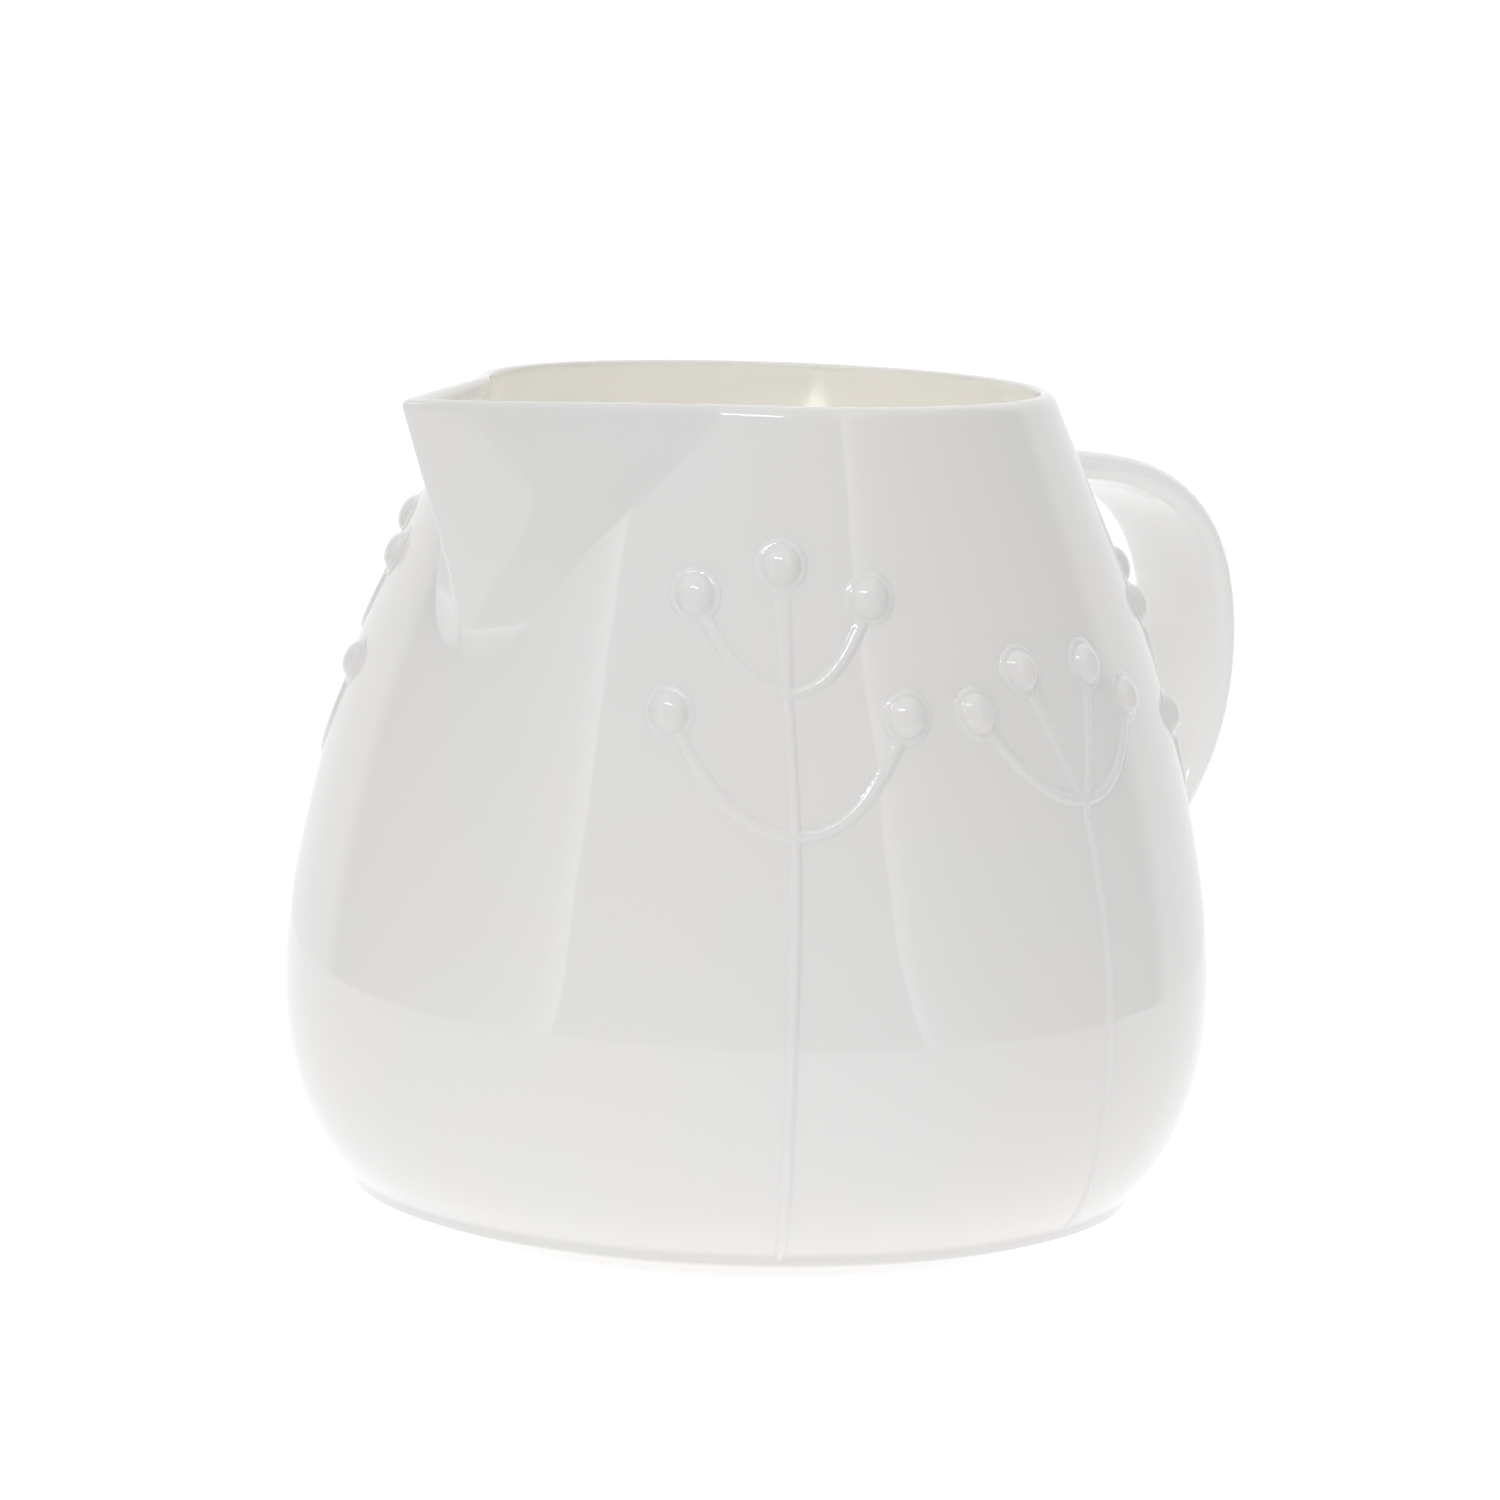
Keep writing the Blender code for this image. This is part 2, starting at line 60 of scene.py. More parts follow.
# Belly, foot and lip, (radius, height) in mm
BELLY = [(42.0, 1.0), (58.9, 5.0), (69.7, 12.5), (76.6, 24.5), (79.8, 43.5), (76.9, 69.5),
         (67.1, 105.5), (58.4, 126.5), (49.2, RIM / MM)]
FOOT = [(0.0, 1.2), (28.0, 1.2), (30.2, 1.15), (30.75, 0.9), (31.1, 0.35), (31.6, 0.05),
        (32.2, 0.0), (35.0, 0.0), (35.6, 0.05), (36.2, 0.33), (38.0, 0.55)]
BARE_RING = (31.0, 36.0)  # stretch of the foot that the kiln shelf keeps bare of glaze
WALL = 2.6
FLOOR = [(46.0, 4.75), (41.0, 4.3), (34.0, 4.2), (17.0, 4.2), (0.0, 4.2)]
LIP = 1.7  # height over which the rim rounds off

# Beak spout: (reach, height) of its keel in mm, and (degrees, height) of a wall's opening angle
KEEL = [(67.7, 99.0), (68.9, 111.3), (73.9, 126.0), (SPOUT_REACH / MM - 0.05, RIM / MM)]
OPENING = [(87.0, 102.4), (79.1, 104.2), (73.7, 106.5), (66.2, 110.5), (52.0, 118.9),
           (39.6, 135.4), (33.7, RIM / MM)]
SPOUT_FOOT = 102.4
NOSE = 0.012  # angle over which the keel is rounded
LEAST_CREASE = math.radians(0.8)  # keeps the columns apart where the spout runs out
OUTER_FILLET = 0.12
INNER_FILLET = 0.2
CREAM_START = 8  # how sharply the inside's cream sets in past the crease

# Rows and columns of the vessel
SPOUT_COLUMNS = 44  # per side of the keel
BELLY_COLUMNS = 116  # per side, from the crease round to the back
PLAIN_CREASE = math.radians(1.5)  # where the spout's columns stop on the foot and the floor
WALL_START = 9.0  # height at which the rows of the wall begin
FINE_START = 95.0  # height above which they are closer together
WALL_ROWS = (74, 90)  # below and above it
BASE_ROWS = 15
LIP_ROWS = 17

# Strap handle, centre line as two Bezier arcs, (radius, height) in mm
STRAP_CROWN = 0.15
STRAP_BACK = (HANDLE_REACH / MM - 2.5 - STRAP_CROWN, 95.5)
TOP_ARC = [(58.6, 131.7), (76.0, 130.5), (STRAP_BACK[0], 132.5), STRAP_BACK]
LOWER_ARC = [STRAP_BACK, (STRAP_BACK[0], 66.2), (83.9, 52.3), (76.9, 46.0)]
STRAP_HALF_WIDTH = 11.0
STRAP_HALF_THICKNESS = 2.5
ROOT_SPREAD = (1.8, 1.3)  # how much (half width, half thickness) grow towards a root
ROOT_LENGTH = 13.0
ROOT_FILLET = 2.0
ROOT_DEPTH = 1.2  # how far a root reaches into the belly's wall
ROOT_OVERRUN = 9.0  # how far the centre line runs on past each root before it is cut back
STRAP_STATIONS = 200

# Relief of the flower sprigs, in mm
RIB_HALF_WIDTH = 0.8
RIB_END_HALF_WIDTH = 1.05
STEM_END_HALF_WIDTH = 1.75
RIB_HEIGHT = 0.55
HEAD_RADIUS = 3.2
HEAD_HEIGHT = 2.35
HEAD_SKIRT = 4.7
DISC_HEIGHT = 0.5
DISC_EDGE = 1.2
CELL = 0.25  # spacing of the relief's grid
PATCH_MARGIN = 6.0  # how far the grid runs past the ribs and heads
RIB_MARGIN = 3.0  # how far from a rib its relief is worked out
RIB_SKIRT = 1.62  # edge of the patch beside a rib, in half widths
BORDER_DEPTH = -0.12  # the patch's edge lies just under the glaze
UNDERSIDE_DEPTH = -0.8
ARM_POINTS = 40

# Sprigs, as on the CAD part: arms as (spread, head height, fork height, bow), stems as
# (sideways, height), in mm
LARGE_ARMS = [(14.2, 117.7, 103.0, 0.6), (19.5, 99.3, 80.7, 0.6)]
SMALL_ARMS = [(8.1, 105.7, 84.5, 0.18), (18.9, 99.5, 84.5, 0.6)]
LARGE_STEM = [(0.4, 9.5), (0.0, 45.5), (0.0, 81.5), (-1.3, 103.0), (-2.3, 122.7)]
SMALL_STEM = [(7.8, 11.4), (4.2, 25.5), (2.7, 43.5), (2.4, 63.5), (1.0, 84.5)]
# Each sprig's degrees from the spout, arms, stem, whether a head ends the stem, and drop in mm
SPRIGS = {
    "spout_side": (50.5, LARGE_ARMS, LARGE_STEM, True, 0.0),
    "middle": (92.0, SMALL_ARMS, SMALL_STEM, False, 0.0),
    "handle_side": (145.0, LARGE_ARMS, LARGE_STEM, True, 5.5),
}


# ---------------------------------------------------------------- curves


def smooth_curve(points, count=1200):
    """Natural cubic spline through the points, read at even steps of chord length."""
    points = np.array(points, float)
    chord = np.r_[0.0, np.cumsum(np.linalg.norm(np.diff(points, axis=0), axis=1))]
    step = np.diff(chord)
    last = len(points) - 1
    system = np.eye(last + 1)
    slopes = np.zeros_like(points)
    for i in range(1, last):
        system[i, i - 1 : i + 2] = step[i - 1], 2 * (step[i - 1] + step[i]), step[i]
        rise = (points[i + 1] - points[i]) / step[i]
        slopes[i] = 6 * (rise - (points[i] - points[i - 1]) / step[i - 1])
    bend = np.linalg.solve(system, slopes)
    where = np.linspace(0.0, chord[-1], count)
    span = np.clip(np.searchsorted(chord, where, side="right") - 1, 0, last - 1)
    width = step[span][:, None]
    ahead = (where - chord[span])[:, None]
    behind = width - ahead
    cubic = (bend[span] * behind**3 + bend[span + 1] * ahead**3) / (6 * width)
    start = (points[span] / width - bend[span] * width / 6) * behind
    end = (points[span + 1] / width - bend[span + 1] * width / 6) * ahead
    return cubic + start + end


def bezier(controls, t):
    """Points of a Bezier curve of any degree at each of t."""
    t = np.asarray(t, float)[:, None]
    points = [np.array(p, float) for p in controls]
    while len(points) > 1:
        points = [a + (b - a) * t for a, b in zip(points, points[1:])]
    return points[0]


def along(points):
    """Length along a polyline up to each of its points."""
    return np.r_[0.0, np.cumsum(np.linalg.norm(np.diff(points, axis=0), axis=1))]


def outline_normals(points):
    """Outward normals of an outline of (radius, height) points that climbs."""
    run = np.gradient(points, axis=0)
    normals = np.column_stack((run[:, 1], -run[:, 0]))
    return normals / np.linalg.norm(normals, axis=1)[:, None]


OUTLINE = smooth_curve(BELLY)
NORMALS = outline_normals(OUTLINE)
INSIDE = OUTLINE - WALL * NORMALS
KEEL_LINE = smooth_curve(KEEL)
OPENING_LINE = smooth_curve([(math.radians(angle), z) for angle, z in OPENING])


def belly_radius(z):
    return np.interp(z, OUTLINE[:, 1], OUTLINE[:, 0])


def belly_normal(z):
    return np.interp(z, OUTLINE[:, 1], NORMALS[:, 0]), np.interp(z, OUTLINE[:, 1], NORMALS[:, 1])


def inside_radius(z):
    return np.interp(z, INSIDE[:, 1], INSIDE[:, 0])


def soft_max(a, b, soft):
    """The larger of a and b, with the corner between them rounded over about soft."""
    return (a + b + np.sqrt((a - b) ** 2 + soft**2)) / 2


# ---------------------------------------------------------------- meshes


def mesh_object(name, verts, faces, materials):
    """A smooth mesh from vertices in mm round the belly's axis."""
    mesh = bpy.data.meshes.new(name)
    verts = np.asarray(verts, float) * MM
    verts[:, 0] += AXIS_X
    mesh.from_pydata(verts.tolist(), [], [list(f) for f in faces])
    mesh.validate()
    mesh.shade_smooth()
    for material in materials:
        mesh.materials.append(material)
    piece = bpy.data.objects.new(name, mesh)
    bpy.context.scene.collection.objects.link(piece)
    return piece


def tube_faces(rows, columns):
    """Quads of a closed tube of rows, each of columns vertices."""
    row, column = np.meshgrid(np.arange(rows - 1), np.arange(columns), indexing="ij")
    beside = (column + 1) % columns
    quads = (row * columns + column, row * columns + beside,
             (row + 1) * columns + beside, (row + 1) * columns + column)
    return np.stack([q.ravel() for q in quads], axis=1)


def add_point_values(piece, name, values):
    attribute = piece.data.attributes.new(name, "FLOAT", "POINT")
    attribute.data.foreach_set("value", np.asarray(values, np.float32))


# ---------------------------------------------------------------- belly and spout


def opening_angle(z):
    return np.interp(z, OPENING_LINE[:, 1], OPENING_LINE[:, 0])


def keel_reach(z, inset):
    return np.interp(z, KEEL_LINE[:, 1], KEEL_LINE[:, 0]) - inset / np.sin(opening_angle(z))


def crease_angle(z, inset):
    """Angle from the keel at which a side wall of the spout meets the belly."""
    radius = inside_radius(z) if inset else belly_radius(z)
    opening = opening_angle(z)
    offset = np.minimum(keel_reach(z, inset) * np.sin(opening) / radius, 1.0)
    angle = np.maximum(np.arcsin(offset) - opening, 0.0) * (z > SPOUT_FOOT)
    return np.hypot(angle, LEAST_CREASE)


def shell_radius(angle, z, inset):
    """Radius of the belly and its spout at an angle from the keel; inset gives the inside."""
    opening = opening_angle(z)
    rounded = np.hypot(angle, NOSE)
    reach = keel_reach(z, inset) * np.sin(opening + NOSE)
    side = reach / np.sin(np.minimum(opening + rounded, math.pi / 2))
    belly = inside_radius(z) if inset else belly_radius(z)
    return soft_max(belly, side, INNER_FILLET if inset else OUTER_FILLET)


def column_angles(crease):
    """Angles of the columns of one row, crowded at the keel and at the creases."""
    near = (1 - np.cos(np.linspace(0, math.pi, SPOUT_COLUMNS + 1))) / 2 * crease
    far = 1 - np.cos(np.linspace(0, math.pi / 2, BELLY_COLUMNS + 1)[1:])
    half = np.r_[near, crease + (math.pi - crease) * far]
    return np.r_[half, -half[-2:0:-1]]


def wall_heights(low, high):
    """Heights of a wall's rows, closer together along the spout."""
    below = np.linspace(low, FINE_START, WALL_ROWS[0], endpoint=False)
    return np.r_[below, np.linspace(FINE_START, high, WALL_ROWS[1])]


def make_vessel(glaze, biscuit):
    """Belly, spout, rim and foot as one closed skin, from the foot up and down the inside."""
    rows = []  # (radius at each column, height at each column, column angles, inside share)

    def plain_row(radius, z, inside):
        angles = column_angles(PLAIN_CREASE)
        rows.append((np.full(len(angles), radius), np.full(len(angles), z), angles, inside))

    under = smooth_curve([FOOT[-1], (40.0, 0.75), BELLY[0]], 6)
    for radius, z in [*FOOT[1:-1], *under[:-1]]:
        plain_row(radius, z, 0.0)
    steps = np.linspace(0, 1, BASE_ROWS)[:-1] ** 1.3
    last = np.searchsorted(OUTLINE[:, 1], WALL_START)
    for index in np.interp(steps, [0, 1], [0, last]).astype(int):
        plain_row(*OUTLINE[index], 0.0)
    shoulder = RIM / MM - LIP
    for z in wall_heights(WALL_START, shoulder):
        angles = column_angles(crease_angle(z, 0.0))
        rows.append((shell_radius(angles, z, 0.0), np.full(len(angles), z), angles, 0.0))
    out_crease, in_crease = (float(crease_angle(shoulder, inset)) for inset in (0.0, WALL))
    for turn in np.linspace(0, math.pi, LIP_ROWS)[1:-1]:
        share = (1 - math.cos(turn)) / 2
        angles = column_angles(out_crease + (in_crease - out_crease) * share)
        outer = shell_radius(angles, shoulder, 0.0)
        inner = shell_radius(angles, shoulder, WALL)
        lean = outer - shell_radius(angles, shoulder - 1.0, 0.0)
        climb = LIP * math.sin(turn)
        radius = (outer + inner) / 2 + (outer - inner) / 2 * math.cos(turn) + lean * climb
        rows.append((radius, np.full(len(angles), shoulder + climb), angles, share))
    for z in wall_heights(WALL_START, shoulder)[::-1]:
        angles = column_angles(crease_angle(z, WALL))
        rows.append((shell_radius(angles, z, WALL), np.full(len(angles), z), angles, 1.0))
    floor_start = (float(inside_radius(WALL_START)), WALL_START)
    guide = [floor_start, (float(inside_radius(6.6)), 6.6), *FLOOR]
    for radius, z in smooth_curve(guide, 60)[1:-1]:
        plain_row(radius, z, 1.0)
    angles = np.array([row[2] for row in rows])
    radii = np.array([row[0] for row in rows])
    heights = np.array([row[1] for row in rows])
    grid = np.stack((-radii * np.cos(angles), -radii * np.sin(angles), heights), axis=-1)
    count, columns = radii.shape
    verts = np.vstack((grid.reshape(-1, 3), [(0, 0, FOOT[0][1])], [(0, 0, FLOOR[-1][1])]))
    faces = [tuple(q) for q in tube_faces(count, columns)]
    first, last = len(verts) - 2, len(verts) - 1
    top = (count - 1) * columns
    for i in range(columns):
        j = (i + 1) % columns
        faces.append((first, j, i))
        faces.append((last, top + i, top + j))
    vessel = mesh_object("vessel", verts, faces, [glaze, biscuit])
    inside = np.repeat([row[3] for row in rows], columns)
    creases = np.array([column[SPOUT_COLUMNS] for column in angles])[:, None]
    away = np.clip((np.abs(angles) / creases - 1.0) * CREAM_START, 0, 1)
    inside *= np.where(heights > SPOUT_FOOT, away, 1.0).ravel()
    add_point_values(vessel, "inside", np.r_[inside, 0.0, 1.0])
    for polygon in vessel.data.polygons[: len(FOOT) * columns]:
        centre = polygon.center
        radius = math.hypot(centre.x - AXIS_X, centre.y) / MM
        if BARE_RING[0] < radius < BARE_RING[1] and centre.z < 0.4 * MM:
            polygon.material_index = 1
    return vessel


# ---------------------------------------------------------------- handle


def strap_line():
    """Fine centre line of the strap, from inside the top root to inside the bottom one."""
    t = np.linspace(0, 1, 400)
    line = np.vstack((bezier(TOP_ARC, t)[:-1], bezier(LOWER_ARC, t)))
    into_top = line[0] - line[1]
    into_bottom = line[-1] - line[-2]
    stretch = np.linspace(0, ROOT_OVERRUN, 60)[1:, None]
    before = line[0] + stretch[::-1] * into_top / np.linalg.norm(into_top)
    after = line[-1] + stretch * into_bottom / np.linalg.norm(into_bottom)
    return np.vstack((before, line, after))


def strap_section(half_width, half_thickness):
    """Section with slightly crowned faces and round edges, as (sideways, outwards) offsets."""
    arc = np.linspace(math.pi / 2, -math.pi / 2, 13)
    flat = half_width - half_thickness
    right = np.column_stack((flat + half_thickness * np.cos(arc), half_thickness * np.sin(arc)))
    across = np.linspace(1, -1, 12)[1:-1]
    crown = half_thickness + STRAP_CROWN * (1 - across**2)
    under = np.column_stack((flat * across, -crown))
    return np.vstack((right, under, -right, -under))


def belly_clearance(points):
    """How far out of the belly's outer face each point lies."""
    return np.hypot(points[:, 0], points[:, 1]) - belly_radius(points[:, 2])


def make_handle(glaze):
    """The strap as one closed skin, flared at its roots and cut back inside the belly's wall."""
    line = strap_line()
    tangents = np.gradient(line, axis=0)
    tangents /= np.linalg.norm(tangents, axis=1)[:, None]
    clearance = line[:, 0] - belly_radius(line[:, 1])
    lengths = along(line)
    clear = np.flatnonzero(clearance > 0)
    to_root = np.minimum(lengths - lengths[clear[0]], lengths[clear[-1]] - lengths)
    flare = np.clip(1 - to_root / ROOT_LENGTH, 0, 1) ** 2
    rails = []
    for centre, tangent, share in zip(line, tangents, flare):
        half_width = STRAP_HALF_WIDTH + ROOT_SPREAD[0] * share
        section = strap_section(half_width, STRAP_HALF_THICKNESS + ROOT_SPREAD[1] * share)
        sideways = np.array((0.0, 1.0, 0.0))
        outwards = np.array((-tangent[1], 0.0, tangent[0]))
        ring = np.array((centre[0], 0.0, centre[1]))
        ring = ring + section[:, :1] * sideways + section[:, 1:] * outwards
        gap = np.clip(belly_clearance(ring) / ROOT_FILLET, 0, 1)
        swell = ROOT_FILLET * (1 - np.sqrt(1 - (1 - gap) ** 2))
        away = section[:, :1] * sideways + section[:, 1:] * outwards * (half_width / 3)
        away /= np.linalg.norm(away, axis=1)[:, None]
        rails.append(ring + swell[:, None] * away)
    rails = np.array(rails)
    stations = (1 - np.cos(np.linspace(0, math.pi, STRAP_STATIONS))) / 2
    grid = np.empty((len(stations), rails.shape[1], 3))
    for k in range(rails.shape[1]):
        rail = rails[:, k]
        depth = belly_clearance(rail) + ROOT_DEPTH
        inside = np.flatnonzero(depth > 0)
        ends = []
        for a, b in ((inside[0] - 1, inside[0]), (inside[-1], inside[-1] + 1)):
            ends.append(a + depth[a] / (depth[a] - depth[b]))
        where = ends[0] + (ends[1] - ends[0]) * stations
        for axis in range(3):
            grid[:, k, axis] = np.interp(where, np.arange(len(rail)), rail[:, axis])
    rows, columns = grid.shape[:2]
    caps = [grid[0].mean(axis=0), grid[-1].mean(axis=0)]
    verts = np.vstack((grid.reshape(-1, 3), caps))
    faces = [tuple(q[::-1]) for q in tube_faces(rows, columns)]
    top = (rows - 1) * columns
    for i in range(columns):
        j = (i + 1) % columns
        faces.append((rows * columns, i, j))
        faces.append((rows * columns + 1, top + j, top + i))
    return mesh_object("strap_handle", verts, faces, [glaze])


# ---------------------------------------------------------------- flower sprigs


def distance_to_line(points, line, widths):
    """Distance from each point to a polyline, and the width of the line at the nearest spot."""
    best = np.full(len(points), np.inf)
    width = np.zeros(len(points))
    for a, b, wa, wb in zip(line, line[1:], widths, widths[1:]):
        span = b - a
        t = np.clip((points - a) @ span / (span @ span), 0, 1)
        distance = np.linalg.norm(points - a - t[:, None] * span, axis=1)
        nearer = distance < best
        best = np.where(nearer, distance, best)
        width = np.where(nearer, wa + (wb - wa) * t, width)
    return best, width


def rib_relief(distance, half_width, height):
    """Height of a rounded rib with a soft foot at each side."""
    crown = height * np.clip(1 - (distance / half_width) ** 2, 0, 1) ** 0.6
    foot = np.clip(1.55 - distance / half_width, 0, 1.55) / 1.55
    return soft_max(crown, 0.5 * height * foot**2.2, 0.06) - 0.03


def head_relief(distance):
    """Height of a round head: a dome on a low disc with a round edge."""
    dome = HEAD_HEIGHT * np.clip(1 - (distance / HEAD_RADIUS) ** 2, 0, 1) ** 0.5
    edge = np.clip((distance - HEAD_SKIRT + DISC_EDGE) / DISC_EDGE, 0, 1)
    disc = DISC_HEIGHT * (1 + np.cos(math.pi * edge)) / 2
    return soft_max(dome, disc, 0.3) - 0.1


def sprig_lines(arms, stem, head_on_stem, drop):
    """[(line, widths)] of the ribs, and the centres of the heads."""
    stem = [stem[0], *((aside, z - drop) for aside, z in stem[1:])]
    fine = smooth_curve(stem, 80)
    swell = np.clip((fine[:, 1] - stem[-2][1]) / (stem[-1][1] - stem[-2][1]), 0, 1)
    end = STEM_END_HALF_WIDTH if head_on_stem else RIB_HALF_WIDTH
    lines = [(fine, RIB_HALF_WIDTH + (end - RIB_HALF_WIDTH) * swell)]
    heads = [fine[-1]] if head_on_stem else []
    for spread, head_z, fork_z, bow in arms:
        fork_z, head_z = fork_z - drop, head_z - drop
        fork = np.interp(fork_z, fine[:, 1], fine[:, 0])
        lean = np.interp(head_z, fine[:, 1], fine[:, 0]) if head_on_stem else 0.0
        for side in (-1.0, 1.0):
            head = (lean + side * spread, head_z)
            swing = (fork + side * bow * spread, fork_z)
            arm = bezier([(fork, fork_z), swing, head], np.linspace(0, 1, ARM_POINTS))
            swell = np.linspace(0, 1, ARM_POINTS)
            lines.append((arm, RIB_HALF_WIDTH + (RIB_END_HALF_WIDTH - RIB_HALF_WIDTH) * swell))
            heads.append(np.array(head))
    return lines, heads


def make_sprig(name, shape, front, glaze):
    """One sprig as a patch of relief wrapped round the belly; front is 1 for -Y, -1 for +Y."""
    centre_angle, arms, stem, head_on_stem, drop = shape
    lines, heads = sprig_lines(arms, stem, head_on_stem, drop)
    everything = np.vstack([line for line, _ in lines] + [np.array(heads)])
    low, high = everything.min(0) - PATCH_MARGIN, everything.max(0) + PATCH_MARGIN
    across = np.arange(low[0], high[0], CELL)
    up = np.arange(low[1], high[1], CELL)
    grid = np.stack(np.meshgrid(across, up, indexing="xy"), axis=-1)
    points = grid.reshape(-1, 2)
    relief = np.zeros(len(points))
    reach = np.full(len(points), np.inf)
    for line, widths in lines:
        low, high = line.min(0) - RIB_MARGIN, line.max(0) + RIB_MARGIN
        near = ((points > low) & (points < high)).all(1)
        distance, width = distance_to_line(points[near], line, widths)
        height = rib_relief(distance, width, RIB_HEIGHT)
        relief[near] = soft_max(relief[near], height, 0.1) - 0.05 * (relief[near] > 0)
        reach[near] = np.minimum(reach[near], distance - RIB_SKIRT * width)
    for head in heads:
        distance = np.linalg.norm(points - head, axis=1)
        near = distance < HEAD_SKIRT + 0.5
        relief[near] = soft_max(relief[near], head_relief(distance[near]), 0.2) - 0.08
        reach[near] = np.minimum(reach[near], distance[near] - HEAD_SKIRT)
    rows, columns = len(up), len(across)
    kept = (reach < 0).reshape(rows, columns)
    cells = kept[:-1, :-1] & kept[1:, :-1] & kept[:-1, 1:] & kept[1:, 1:]
    used = np.zeros((rows, columns), bool)
    for rise, shift in ((0, 0), (1, 0), (0, 1), (1, 1)):
        used[rise : rows - 1 + rise, shift : columns - 1 + shift] |= cells
    around = np.zeros((rows, columns), int)
    for rise, shift in ((0, 0), (1, 0), (0, 1), (1, 1)):
        around[rise : rows - 1 + rise, shift : columns - 1 + shift] += cells
    border = (used & (around < 4)).ravel()
    relief = np.where(border, BORDER_DEPTH, relief)
    index = np.full(rows * columns, -1)
    index[used.ravel()] = np.arange(used.sum())
    flat, proud = points[used.ravel()], relief[used.ravel()]
    count = len(flat)

    def wrapped(offset):
        radial, vertical = belly_normal(flat[:, 1])
        angle = front * (math.radians(centre_angle) + flat[:, 0] / belly_radius(flat[:, 1]))
        radius = belly_radius(flat[:, 1]) + offset * radial
        z = flat[:, 1] + offset * vertical
        return np.column_stack((-radius * np.cos(angle), -radius * np.sin(angle), z))

    sunk = np.full(count, UNDERSIDE_DEPTH)
    verts = np.vstack((wrapped(proud), wrapped(sunk)))
    row, column = np.nonzero(cells)
    corner = row * columns + column
    quads = index[np.stack((corner, corner + 1, corner + columns + 1, corner + columns), axis=1)]
    if front < 0:
        quads = quads[:, ::-1]
    edges = np.vstack([quads[:, [i, (i + 1) % 4]] for i in range(4)])
    keys = edges[:, 0] * count + edges[:, 1]
    rim = edges[~np.isin(keys, edges[:, 1] * count + edges[:, 0])]
    walls = np.column_stack((rim[:, 1], rim[:, 0], rim[:, 0] + count, rim[:, 1] + count))
    faces = np.vstack((quads, quads[:, ::-1] + count, walls))
    return mesh_object(name, verts, faces, [glaze])


# ---------------------------------------------------------------- materials


def new_material(name):
    """A node material, its tree and its shader."""
    material = bpy.data.materials.new(name)
    material.use_nodes = True
    tree = material.node_tree
    return material, tree, tree.nodes["Principled BSDF"]


def noise(tree, scale, detail, roughness=0.5):
    """Noise in the object's own coordinates; scale is in cycles per metre."""
    node = tree.nodes.new("ShaderNodeTexNoise")
    node.inputs["Scale"].default_value = scale
    node.inputs["Detail"].default_value = detail
    node.inputs["Roughness"].default_value = roughness
    coordinates = tree.nodes.new("ShaderNodeTexCoord")
    tree.links.new(coordinates.outputs["Object"], node.inputs["Vector"])
    return node


def mix_colours(tree, factor, a, b):
    """Mix of two colours or colour sockets."""
    node = tree.nodes.new("ShaderNodeMix")
    node.data_type = "RGBA"
    tree.links.new(factor, node.inputs[0])
    for socket, value in ((node.inputs[6], a), (node.inputs[7], b)):
        if isinstance(value, tuple):
            socket.default_value = (*value, 1.0)
        else:
            tree.links.new(value, socket)
    return node.outputs[2]


def ramp(tree, source, low, high):
    """0 to 1 as source goes from low to high."""
    node = tree.nodes.new("ShaderNodeMapRange")
    node.inputs["From Min"].default_value = low
    node.inputs["From Max"].default_value = high
    tree.links.new(source, node.inputs["Value"])
    return node.outputs["Result"]


def bump(tree, shader, layers):
    """Chain of bumps: (height socket, distance in metres)."""
    previous = None
    for height, distance in layers:
        node = tree.nodes.new("ShaderNodeBump")
        node.inputs["Strength"].default_value = 1.0
        node.inputs["Distance"].default_value = distance
        tree.links.new(height, node.inputs["Height"])
        if previous:
            tree.links.new(previous, node.inputs["Normal"])
        previous = node.outputs["Normal"]
    tree.links.new(previous, shader.inputs["Normal"])


WARM = (0.865, 0.848, 0.833)
COOL = (0.852, 0.846, 0.838)
CREAM = (0.875, 0.86, 0.82)  # inside of the belly
SPECK_SHADE = 0.96
GLOSS = (0.025, 0.045)  # roughness
WAVE = 0.00012
PEEL = 0.000002
STRAP_TRANSLUCENCY = 0.85


def make_glaze(name, warm, cool, cream=None, translucent=0.0):
    """Glossy white glaze: slow drift of tone, faint orange peel, slight waviness."""
    material, tree, shader = new_material(name)
    drift = ramp(tree, noise(tree, 22.0, 2.0).outputs["Fac"], 0.3, 0.7)
    colour = mix_colours(tree, drift, warm, cool)
    specks = ramp(tree, noise(tree, 900.0, 2.0, 0.6).outputs["Fac"], 0.7, 0.82)
    colour = mix_colours(tree, specks, colour, tuple(SPECK_SHADE * c for c in warm))
    if cream:
        inside = tree.nodes.new("ShaderNodeAttribute")
        inside.attribute_name = "inside"
        colour = mix_colours(tree, inside.outputs["Fac"], colour, cream)
    tree.links.new(colour, shader.inputs["Base Color"])
    gloss = tree.nodes.new("ShaderNodeMapRange")
    gloss.inputs["To Min"].default_value, gloss.inputs["To Max"].default_value = GLOSS
    tree.links.new(noise(tree, 60.0, 3.0).outputs["Fac"], gloss.inputs["Value"])
    tree.links.new(gloss.outputs["Result"], shader.inputs["Roughness"])
    shader.inputs["IOR"].default_value = 1.5
    shader.inputs["Subsurface Weight"].default_value = translucent
    shader.inputs["Subsurface Radius"].default_value = (1.0, 0.97, 0.85)
    shader.inputs["Subsurface Scale"].default_value = 0.02
    peel = noise(tree, 700.0, 1.0).outputs["Fac"]
    wave = noise(tree, 45.0, 1.0).outputs["Fac"]
    bump(tree, shader, [(wave, WAVE), (peel, PEEL)])
    return material


